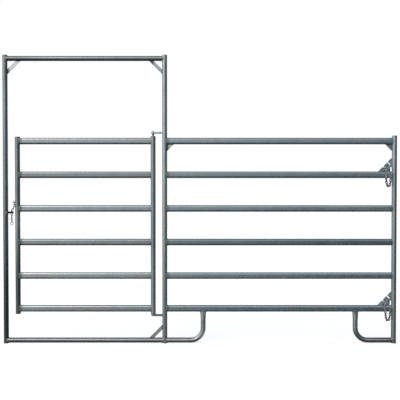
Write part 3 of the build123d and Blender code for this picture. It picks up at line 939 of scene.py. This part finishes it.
@dataclass
class SubAssembly:
    """What every sub-assembly works with: the places on the fence, the finishes and the tubes' beads."""

    places: FencePlaces
    finishes: Finishes
    tube_bead: WeldBead = WeldBead()
    cap_bead: WeldBead = WeldBead(half_width=0.0012, height=0.0008, pitch=0.0022, wander_share=0.05)

    def coat(self, finish: str, *nodes: str) -> None:
        """Gives solids their finish.

        Args:
            finish: The finish's name.
            nodes: Names of the solids' nodes.
        """
        for node in nodes:
            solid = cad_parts[node]
            if not solid.material_slots:
                solid.data.materials.append(self.finishes[finish])
            for slot in solid.material_slots:
                slot.material = self.finishes[finish]
        LOG.info("coated %s with %s", ", ".join(nodes), finish)

    def rail_welds(self, name: str, body: str, *uprights: tuple[float, int]) -> None:
        """Beads round the ends of the oval rails.

        Args:
            name: The piece's name.
            body: The body that it moves with.
            uprights: Axis of each upright, with 1 where the rails run to its right and -1 to its left.
        """
        welds = Patchwork()
        for height in self.places.rail_heights:
            self.tube_bead.lay(welds, *(self.places.rail_seam(*upright, height) for upright in uprights))
        welds.build(name, self.finishes["weld"], body, "galvanised_rail")

    def cap_welds(self, name: str, body: str, *nodes: str) -> None:
        """Thin ring beads at both ends of upright tubes.

        Args:
            name: The piece's name.
            body: The body that it moves with.
            nodes: The tubes' nodes.
        """
        welds = Patchwork()
        for node in nodes:
            self.cap_bead.lay(welds, *self.places.cap_seams(node))
        welds.build(name, self.finishes["weld"], body, "galvanised_plate")


@dataclass
class Gateway(SubAssembly):
    """Tall frame round the gate: two posts, header, sill and three flat corner braces."""

    brace_half: float = 0.003
    brace_foot: float = 0.037
    plate_bead: WeldBead = WeldBead(half_width=0.0044, height=0.0032, pitch=0.0034)

    def dress(self) -> None:
        """Coats the solids and lays the frame's welds."""
        self.coat("latch_post", "latch_post")
        self.coat("hinge_post", "hinge_post")
        self.coat("post", "post_caps", "post_feet")
        self.coat("header", "header_tube")
        self.coat("sill", "sill_tube")
        self.coat("latch_brace", "header_latch_brace")
        self.coat("hinge_brace", "header_hinge_brace")
        self.coat("brace", "sill_brace")
        welds = Patchwork()
        for height in (self.places.header_z, self.places.sill_z):
            for upright, side in ((self.places.latch_post_x, 1), (self.places.hinge_post_x, -1)):
                self.tube_bead.lay(welds, *self.places.round_seams(upright, side, height))
        welds.build("gateway_tube_welds", self.finishes["weld"], "fence", "galvanised_tube")
        self._brace_welds()
        self.cap_welds("post_cap_welds", "fence", "latch_post", "hinge_post", "end_post")

    def _brace_welds(self) -> None:
        """Beads where the three braces meet their post and their tube."""
        welds = Patchwork()
        half, foot = self.brace_half, self.brace_foot
        braces = (("header_latch_brace", self.places.latch_post_x, 1, self.places.header_z, -1),
                  ("header_hinge_brace", self.places.hinge_post_x, -1, self.places.header_z, -1),
                  ("sill_brace", self.places.hinge_post_x, -1, self.places.sill_z, 1))
        for node, post_x, side, tube_z, up in braces:
            low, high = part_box(node)
            rise = (low.z, low.z + foot) if up < 0 else (high.z - foot, high.z)
            run = (high.x - foot, high.x) if side > 0 else (low.x, low.x + foot)
            crest = tube_z + up * self.places.on_upright(half)
            self.plate_bead.lay(welds, *self.places.corner_seams(half, post_x, side, rise, crest, up, run))
        welds.build("gateway_brace_welds", self.finishes["dark_weld"], "fence", "galvanised_plate")


@dataclass
class FixedPanel(SubAssembly):
    """Six oval rails between the hinge post and the end post, with gussets and bent feet."""

    gusset_half: float = 0.003
    foot_depth: float = 0.026
    foot_setback: float = 0.293
    foot_bead_drop: float = 0.6
    plate_bead: WeldBead = WeldBead(half_width=0.0040, height=0.0030, pitch=0.0032)

    def dress(self) -> None:
        """Coats the solids and lays the panel's welds."""
        self.coat("end_post", "end_post")
        self.coat("panel_rail", *(f"panel_rail_{number}" for number in RAIL_NUMBERS))
        self.coat("foot", "bent_feet")
        self.coat("gusset", "panel_hinge_gusset")
        # the end gusset's darker weld finish is painted shade, set against the lit hinge-side gusset
        self.coat("weld", "panel_end_gusset")
        posts = ((self.places.hinge_post_x, 1), (self.places.end_post_x, -1))
        self.rail_welds("panel_rail_welds", "fence", *posts)
        self._gusset_welds()
        self._foot_welds()

    def _gusset_welds(self) -> None:
        """Beads along both legs of the gussets under the top rail."""
        welds = Patchwork()
        half = self.gusset_half
        under = self.places.on_rail(self.places.rail_heights[0], -1, half)
        for node, post_x, side in (("panel_hinge_gusset", self.places.hinge_post_x, 1),
                                   ("panel_end_gusset", self.places.end_post_x, -1)):
            low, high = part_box(node)
            rise, run = (low.z, high.z), (low.x, high.x)
            self.plate_bead.lay(welds, *self.places.corner_seams(half, post_x, side, rise, under, -1, run))
        welds.build("gusset_welds", self.finishes["dark_weld"], "fence", "galvanised_plate")

    def _foot_welds(self) -> None:
        """Beads of the bent feet on their posts and under the lowest rail.

        Under the rail, x and y go round the flattened end as a slot and z is the rail's underside at that y.
        """
        welds = Patchwork()
        depth = self.foot_depth
        length = depth + pi * (2 * self.places.post_radius - depth) / 2
        angle = rounds(self.places.ring_points)
        x = depth / 2 * np.cos(angle) + (length - depth) / 2 * np.sign(np.cos(angle).round(9))
        y = depth / 2 * np.sin(angle)
        z = self.places.on_rail(self.places.rail_heights[-1], -1, y)
        outward = unit(circle(self.places.ring_points) - np.array([0.0, 0.0, self.foot_bead_drop]))
        run_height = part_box("bent_feet")[0].z + self.places.post_radius
        for post_x, side in ((self.places.hinge_post_x, 1), (self.places.end_post_x, -1)):
            leg = points_at(post_x + side * self.foot_setback + x, y, z)
            self.tube_bead.lay(welds, *self.places.round_seams(post_x, side, run_height))
            self.tube_bead.lay(welds, Seam(leg, outward, closed=True))
        welds.build("foot_welds", self.finishes["weld"], "fence", "galvanised_tube")


@dataclass
class SwingGate(SubAssembly):
    """Framed gate: two stiles and six oval rails."""

    def dress(self) -> None:
        """Coats the solids and lays the gate's welds."""
        self.coat("latch_stile", "gate_latch_stile")
        self.coat("hinge_stile", "gate_hinge_stile")
        self.coat("post", "gate_stile_caps")
        self.coat("gate_rail", *(f"gate_rail_{number}" for number in RAIL_NUMBERS))
        stiles = ((self.places.latch_stile_x, 1), (self.places.hinge_axis_x, -1))
        self.rail_welds("gate_rail_welds", "gate", *stiles)
        self.cap_welds("gate_cap_welds", "gate", "gate_latch_stile", "gate_hinge_stile")


@dataclass
class ChainConnectors(SubAssembly):
    """Slotted plates at the end post and the chains that hang from them."""

    link: RoundLink = RoundLink(wire=0.006, inner_length=0.0185, inner_width=0.008)
    plate_half: float = 0.0025
    drain_height: float = 0.034
    drain_width: float = 0.012
    end_offset: float = 0.034
    end_drop: float = 0.004
    end_weld_half: float = 0.007
    end_weld_points: int = 9
    end_weld_aside: float = 0.0022
    plate_bead: WeldBead = WeldBead(half_width=0.0024, height=0.0019, pitch=0.0026)
    link_bead: WeldBead = WeldBead(half_width=0.0032, height=0.0026, pitch=0.0030)

    def dress(self) -> None:
        """Coats the plates, hangs round links for the flat-sided ones and lays the welds."""
        self.coat("plate", "upper_chain_plate", "lower_chain_plate")
        welds = Patchwork()
        for name, rail in CHAIN_RAILS.items():
            node = f"{name}_connector_chain"
            centres, axes = link_places(node)
            chain = Patchwork().add(self.link.strung(centres, axes), True)
            chain.build(f"{name}_round_chain", self.finishes["chain"], "fence", "galvanised_chain", node)
            self._end_weld(welds, centres, axes, self.places.rail_heights[rail])
            self._plate_welds(welds, f"{name}_chain_plate", self.places.rail_heights[rail])
        welds.build("chain_plate_welds", self.finishes["weld"], "fence", "galvanised_plate")

    def _end_weld(self, welds: Patchwork, centres: Array, axes: Array, rail_height: float) -> None:
        """Two short beads that hold a chain's last link to the rail's face.

        Args:
            welds: The piece that the beads go into.
            centres: Centres of the chain's links.
            axes: Axes of the chain's links.
            rail_height: The rail's middle.
        """
        end = np.array([self.places.end_post_x - self.end_offset, centres[0, 1], rail_height - self.end_drop])
        last = np.argmin(np.linalg.norm((centres - end)[:, (0, 2)], axis=1))
        length, width = axes[last, 0], axes[last, 1]
        edge = centres[last] + width * np.sign(width[1]) * (self.link.inner_width + self.link.wire) / 2
        run = np.linspace(-self.end_weld_half, self.end_weld_half, self.end_weld_points)[:, None] * length
        for sideways in (-1.0, 1.0):
            foot = np.array([edge[0] + sideways * self.end_weld_aside, -self.places.rail_half_depth, edge[2]])
            outward = np.broadcast_to(unit(np.array([sideways, -1.0, 0.0])), run.shape)
            self.link_bead.lay(welds, Seam(foot + run, outward))

    def _plate_welds(self, welds: Patchwork, node: str, rail_height: float) -> None:
        """Beads of a slotted plate on the rail's crest and on the end post, clear of the drain gap.

        Args:
            welds: The piece that the beads go into.
            node: The plate's node.
            rail_height: The rail's middle.
        """
        low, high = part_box(node)
        rise, run = (low.z + self.drain_height, high.z), (low.x, high.x - self.drain_width)
        half, post_x = self.plate_half, self.places.end_post_x
        crest = self.places.on_rail(rail_height, 1, half)
        self.plate_bead.lay(welds, *self.places.corner_seams(half, post_x, -1, rise, crest, 1, run))


@dataclass
class ChainLatch(SubAssembly):
    """Staple, chain and pull ring on the gate, and the slotted keeper on the latch post."""

    link: RoundLink = RoundLink(wire=0.004, inner_length=0.018, inner_width=0.0056)
    wire_columns: int = 14
    ring_radius: float = 0.0105
    ring_rows: int = 48
    staple_wire: float = 0.004
    staple_reach: float = 0.0318
    staple_sink: float = 0.0008
    staple_bend_rows: int = 17
    staple_leg_rows: int = 4
    collar_gap: float = 0.0004
    collar_lean: float = 0.8
    collar_points: int = 40
    keeper_reach: Pair = (-0.0155, 0.0125)
    keeper_leaf: float = 0.005
    nugget_half: Pair = (0.0062, 0.0110)
    nugget_height: float = 0.0030
    nugget_sink: float = 0.0004
    nugget_turn: float = 0.58
    nugget_drop: float = 0.008
    nugget_crown: float = 0.04
    nugget_grid: tuple[int, int] = (9, 28)
    nugget_waves: tuple[tuple[float, int, float], ...] = ((0.07, 3, 0.8), (0.04, 5, 0.0))
    bead: WeldBead = WeldBead(half_width=0.0020, height=0.0016, pitch=0.0024)

    def dress(self) -> None:
        """Coats the keeper and makes the round chain, ring, staple and their welds."""
        # keeper, chain, ring and staple take the near-black latch finish, painted shade
        self.coat("latch", "latch_keeper")
        chain = Patchwork().add(self.link.strung(*link_places("latch_chain")), True)
        chain.build("latch_round_chain", self.finishes["latch"], "gate", "galvanised_chain", "latch_chain")
        self._ring()
        self._staple()
        self._keeper_welds()

    def _ring(self) -> None:
        """Round pull ring: a wire round a circle in the fence's plane."""
        path = np.array(middle("latch_ring")) + self.ring_radius * circle(self.ring_rows)[:, (0, 2, 1)]
        grid = wire_grid(path, (0.0, -1.0, 0.0), self.link.wire / 2, self.wire_columns, True)
        ring = Patchwork().add(grid[None], True)
        ring.build("latch_pull_ring", self.finishes["latch"], "gate", "galvanised_chain", "latch_ring")

    def _staple(self) -> None:
        """Staple of round wire: two legs into the stile, a half turn between, and a bead round each leg."""
        low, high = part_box("chain_staple")
        lower, upper = low.z + self.staple_wire / 2, high.z - self.staple_wire / 2
        bend = (upper - lower) / 2
        stile_x = self.places.latch_stile_x
        turn_x = stile_x - self.staple_reach
        turn = np.linspace(-pi / 2, pi / 2, self.staple_bend_rows)
        inside = stile_x - self.places.post_radius + self.staple_sink
        leg = np.linspace(inside, turn_x, self.staple_leg_rows + 1)[:-1]
        x = np.concatenate([leg, turn_x - bend * np.cos(turn), leg[::-1]])
        z = np.concatenate([0 * leg + lower, lower + bend * (1 + np.sin(turn)), 0 * leg + upper])
        path = points_at(x, 0.0, z)
        grid = wire_grid(path, (0.0, 1.0, 0.0), self.staple_wire / 2, self.wire_columns, False)
        staple = Patchwork().add(grid[None], False)
        staple.build("latch_round_staple", self.finishes["latch"], "gate", "hinge_steel", "chain_staple")
        welds = Patchwork()
        round_leg = circle(self.collar_points)[:, (2, 0, 1)]
        collar = (self.staple_wire / 2 + self.collar_gap) * round_leg
        skin = stile_x - self.places.on_upright(collar[:, 1])
        outward = unit(round_leg - np.array([self.collar_lean, 0.0, 0.0]))
        for height in (lower, upper):
            seam = points_at(skin, collar[:, 1], height + collar[:, 2])
            self.bead.lay(welds, Seam(seam, outward, closed=True))
        welds.build("staple_welds", self.finishes["weld"], "gate", "hinge_steel")

    def _keeper_welds(self) -> None:
        """Beads over and under the keeper's level leaf, where it meets the latch post, and a weld nugget."""
        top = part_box("latch_keeper")[1].z
        welds = Patchwork()
        faces = ((top, 1), (top - self.keeper_leaf, -1))
        self.bead.lay(welds, *self.places.leaf_seams(self.places.latch_post_x, 1, self.keeper_reach, faces))
        welds.add(self._nugget(top), False)
        welds.build("keeper_welds", self.finishes["brace"], "fence", "galvanised_plate")

    def _nugget(self, height: float) -> Array:
        """Weld nugget at the keeper's end on the post's front.

        A dome: on rings from its rim to its crown, the reach along the post and up it is a share of the two
        half sizes, with a slow lobed wave, and the rise is the height times one less the share squared.

        Args:
            height: Top of the keeper's leaf.

        Returns:
            Points of shape (1, rows, columns, 3).
        """
        rings, columns = self.nugget_grid
        share, angle = np.meshgrid(np.linspace(1.0, self.nugget_crown, rings), rounds(columns), indexing="ij")
        lobe = 1 + sum(wave * np.sin(count * angle + start) for wave, count, start in self.nugget_waves)
        across = self.nugget_half[0] * share * lobe * np.cos(angle)
        up = self.nugget_half[1] * share * lobe * np.sin(angle)
        rise = self.nugget_height * (1 - share ** 2) - self.nugget_sink
        turn = self.nugget_turn + across / self.places.post_radius
        reach = self.places.post_radius + rise
        x, y = self.places.latch_post_x + reach * np.sin(turn), -reach * np.cos(turn)
        return points_at(x, y, height - self.nugget_drop + up)[None]


@dataclass
class GateHinges(SubAssembly):
    """Hinge arms on the hinge post, the upper bolt with its nut and the lower pin."""

    thread_pitch: float = 0.00175
    thread_depth: float = 0.0010
    thread_start: float = 0.0002
    rows_per_turn: int = 10
    bolt_columns: int = 36
    end_chamfer: float = 0.0020
    across_flats: float = 0.018
    nut_columns: int = 120
    cone_share: float = 0.95
    cone_angle: float = 60.0
    cone_rise: float = 0.0016
    cone_rows: int = 7
    crease: float = 24.0
    arm_half: float = 0.015
    pin_points: int = 48
    arm_bead: WeldBead = WeldBead(half_width=0.0028, height=0.0022, pitch=0.0028)
    pin_bead: WeldBead = WeldBead(half_width=0.0020, height=0.0016, pitch=0.0024)

    def dress(self) -> None:
        """Coats the arms and bushes, and makes the bolt, the nut and the welds."""
        self.coat("brace", "upper_hinge_arm")
        self.coat("arm", "lower_hinge_arm", "upper_hinge_bush", "lower_hinge_bush")
        self.coat("bolt", "lower_hinge_pin")
        self._bolt()
        self._nut()
        self._arm_welds()

    def _turned(self, name: str, node: str, reach: Array, angle: Array, up: Array) -> None:
        """Makes a turned piece on the hinge's axis.

        Args:
            name: The piece's name.
            node: The solid's node that it stands in for.
            reach: Distances from the axis.
            angle: Angles about it.
            up: Heights.
        """
        piece = Patchwork().add(turned_grid(reach, angle, up, self.places.hinge_axis_x), False)
        piece.build(name, self.finishes["bolt"], "fence", "hinge_steel", node, self.crease)

    def _bolt(self) -> None:
        """Upper hinge bolt: plain shank in the bush and thread up to its broken end over the arm.

        The thread's radius is the shank's, less its depth times a triangle wave of height over pitch less the
        turns. Cones of 45 degrees break both ends.
        """
        low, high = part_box("upper_hinge_pin")
        shank = (high.y - low.y) / 2
        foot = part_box("upper_hinge_bush")[1].z
        threaded = np.arange(foot, high.z, self.thread_pitch / self.rows_per_turn)
        rows = np.array([low.z, low.z + self.end_chamfer, foot - self.thread_start, *threaded, high.z])
        up, angle = np.meshgrid(rows, rounds(self.bolt_columns), indexing="ij")
        wave = np.abs(2 * ((up / self.thread_pitch - angle / TURN) % 1.0) - 1)
        cut = np.where(up >= foot, self.thread_depth * wave, 0.0)
        from_end = np.minimum(up - low.z, high.z - up)
        reach = np.minimum(shank - cut, shank - self.end_chamfer + from_end)
        self._turned("upper_hinge_bolt", "upper_hinge_pin", reach, angle, up)

    def _nut(self) -> None:
        """Hexagon nut round the thread: the hexagon's radius at each angle, cut by a cone at both ends."""
        low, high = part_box("upper_hinge_nut")
        lower = np.linspace(low.z, low.z + self.cone_rise, self.cone_rows)
        upper = np.linspace(high.z - self.cone_rise, high.z, self.cone_rows)
        rows = np.concatenate([lower, upper])
        up, angle = np.meshgrid(rows, rounds(self.nut_columns), indexing="ij")
        sixth = pi / 3
        from_flat = (angle + sixth / 2) % sixth - sixth / 2
        from_end = np.minimum(up - low.z, high.z - up)
        cone = self.cone_share * self.across_flats / 2 + from_end * tan(radians(self.cone_angle))
        reach = np.minimum(self.across_flats / 2 / np.cos(from_flat), cone)
        self._turned("upper_hinge_hex_nut", "upper_hinge_nut", reach, angle, up)

    def _arm_welds(self) -> None:
        """Beads over and under both arms at the hinge post, and rings round the two pins' ends."""
        welds = Patchwork()
        for node in ("upper_hinge_arm", "lower_hinge_arm"):
            low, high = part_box(node)
            faces = ((low.z, -1), (high.z, 1))
            reach = (-self.arm_half, self.arm_half)
            self.arm_bead.lay(welds, *self.places.leaf_seams(self.places.hinge_post_x, -1, reach, faces))
        low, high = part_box("lower_hinge_pin")
        ring = circle(self.pin_points)
        for height, up in ((low.z, -1.0), (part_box("upper_hinge_arm")[1].z, 1.0)):
            centre = np.array([self.places.hinge_axis_x, 0.0, height])
            outward = unit(ring + np.array([0.0, 0.0, up]))
            self.pin_bead.lay(welds, Seam(centre + (high.y - low.y) / 2 * ring, outward, closed=True))
        welds.build("hinge_arm_welds", self.finishes["weld"], "fence", "galvanised_plate")


# Studio


@dataclass(frozen=True)
class LightPatch:
    """Patch of the surroundings: its level, and the smooth steps along the axes that bound it."""

    level: float
    steps: tuple[tuple[str, float, float], ...]

    def shine(self, axes: dict[str, Value]) -> Number:
        """The level times every step.

        Args:
            axes: The direction's numbers along X, Y and Z.

        Returns:
            The patch's light in that direction.
        """
        light: Number = self.level
        for axis, low, high in self.steps:
            light = light * axes[axis].above(low, high)
        return light


@dataclass
class Studio:
    """Pale floor, soft light from the upper left and the camera in front of the fence."""

    camera_place: Triple = (0.2688, -4.574, 1.1745)
    pitch: float = 1.0
    lens: float = 54.0
    sensor: float = 36.0
    key: Triple = (-0.56, -0.50, 0.66)
    glow: tuple[tuple[float, float, Colour], ...] = (
        (-1.0, 0.05, (0.80, 1.0, 1.12)),
        (-0.3, 0.07, (0.78, 1.0, 1.14)),
        (0.10, 0.10, (0.78, 1.0, 1.14)),
        (0.28, 0.13, (0.80, 1.0, 1.12)),
        (0.38, 0.30, (0.84, 1.0, 1.09)),
        (0.47, 0.43, (0.88, 1.0, 1.06)),
        (0.575, 0.53, (0.92, 1.0, 1.04)),
        (0.68, 0.68, (0.95, 1.0, 1.02)),
        (0.85, 0.88, (0.97, 1.0, 1.01)),
        (1.0, 0.95, (0.98, 1.0, 1.0)),
    )
    sky: LightPatch = LightPatch(0.22, (("Z", 0.15, 0.60), ("Y", 0.20, -0.50)))
    overhead_shade: LightPatch = LightPatch(0.75, (("Z", 0.74, 0.94),))
    back_band: LightPatch = LightPatch(0.50, (("Y", 0.35, 0.85), ("Z", 0.55, 0.25), ("Z", -0.60, -0.20)))
    low_fill: LightPatch = LightPatch(0.50, (("X", 0.30, 0.60), ("Z", -0.20, -0.42), ("Y", 0.20, -0.30)))
    high_tint: Colour = (0.965, 1.0, 1.03)
    low_tint: Colour = (1.07, 1.0, 0.93)
    tint_limits: Pair = (0.12, -0.25)
    floor_half: float = 60.0
    lamp_place: Triple = (-5.5, -7.0, 8.0)
    lamp_aim: Triple = (0.27, 0.0, 1.1)
    lamp_size: float = 6.0
    lamp_power: float = 190.0

    def set_up(self) -> None:
        """Makes the floor, the world, the lamp and the camera."""
        bpy.context.scene.view_settings.view_transform = "Standard"
        self._floor()
        self._world()
        self._lamp()
        self._camera()

    def _floor(self) -> None:
        """Level square under the fence that neither lights nor mirrors in the metal."""
        half = self.floor_half
        corners = [(-half, -half, 0.0), (half, -half, 0.0), (half, half, 0.0), (-half, half, 0.0)]
        mesh = bpy.data.meshes.new("floor")
        mesh.from_pydata(corners, [], [(0, 1, 2, 3)])
        mesh.materials.append(FloorFinish().make())
        floor = put("floor", mesh)
        floor.visible_glossy = False
        floor.visible_diffuse = False

    def _world(self) -> None:
        """Soft surroundings, white to the camera.

        The glow is read off a ramp over the cosine to the key, and the sky in front is added. Both are shaded
        overhead and tinted by height. A band behind and a low fill at the right are added last.
        """
        bench = ShaderBench(bpy.data.worlds.new("studio"))
        direction = bench.node("ShaderNodeTexCoord", output="Generated")
        axes = {axis: bench.part(direction, axis) for axis in "XYZ"}
        key = tuple(Vector(self.key).normalized())
        toward = bench.vectors("DOT_PRODUCT", direction, key, "Value")
        stops = [((place + 1) / 2, tuple(level * share for share in tint))
                 for place, level, tint in self.glow]
        glow = bench.node("ShaderNodeValToRGB", {"stops": stops}, {"Fac": toward * 0.5 + 0.5})
        lit = bench.vectors("ADD", glow, bench.grey(self.sky.shine(axes)))
        shaded = bench.scaled(lit, 1 - self.overhead_shade.shine(axes))
        tint = bench.mix(axes["Z"].above(*self.tint_limits), (*self.high_tint, 1.0), (*self.low_tint, 1.0))
        tinted = bench.vectors("MULTIPLY", shaded, tint)
        behind = bench.grey(self.back_band.shine(axes) + self.low_fill.shine(axes))
        soft = bench.vectors("ADD", tinted, behind)
        seen = bench.node("ShaderNodeLightPath", output="Is Camera Ray")
        colour = bench.mix(seen, soft, WHITE)
        light = bench.node("ShaderNodeBackground", None, {"Color": colour, "Strength": 1.0})
        bench.node("ShaderNodeOutputWorld", None, {"Surface": light})
        bpy.context.scene.world = bench.owner

    def _lamp(self) -> None:
        """One large soft lamp at the upper left, aimed at the fence's middle."""
        lamp = bpy.data.lights.new("soft_lamp", "AREA")
        lamp.shape = "SQUARE"
        lamp.size = self.lamp_size
        lamp.energy = self.lamp_power
        holder = put("soft_lamp", lamp)
        holder.location = self.lamp_place
        aim = Vector(self.lamp_aim) - Vector(self.lamp_place)
        holder.rotation_euler = aim.to_track_quat("-Z", "Y").to_euler()

    def _camera(self) -> None:
        """Camera square to the fence and tipped down a little."""
        data = bpy.data.cameras.new("front_camera")
        data.sensor_width = self.sensor
        data.lens = self.lens
        camera = put("front_camera", data)
        camera.location = self.camera_place
        camera.rotation_euler = (radians(90 - self.pitch), 0.0, 0.0)
        bpy.context.scene.camera = camera


def main() -> None:
    """Dresses the sub-assemblies in order and sets up the studio."""
    logging.basicConfig(level=logging.INFO, format="%(message)s")
    places = FencePlaces.from_frame()
    finishes = make_finishes(places)
    for part in (Gateway, FixedPanel, SwingGate, ChainConnectors, ChainLatch, GateHinges):
        part(places, finishes).dress()
    Studio().set_up()


if __name__ == "__main__":
    main()
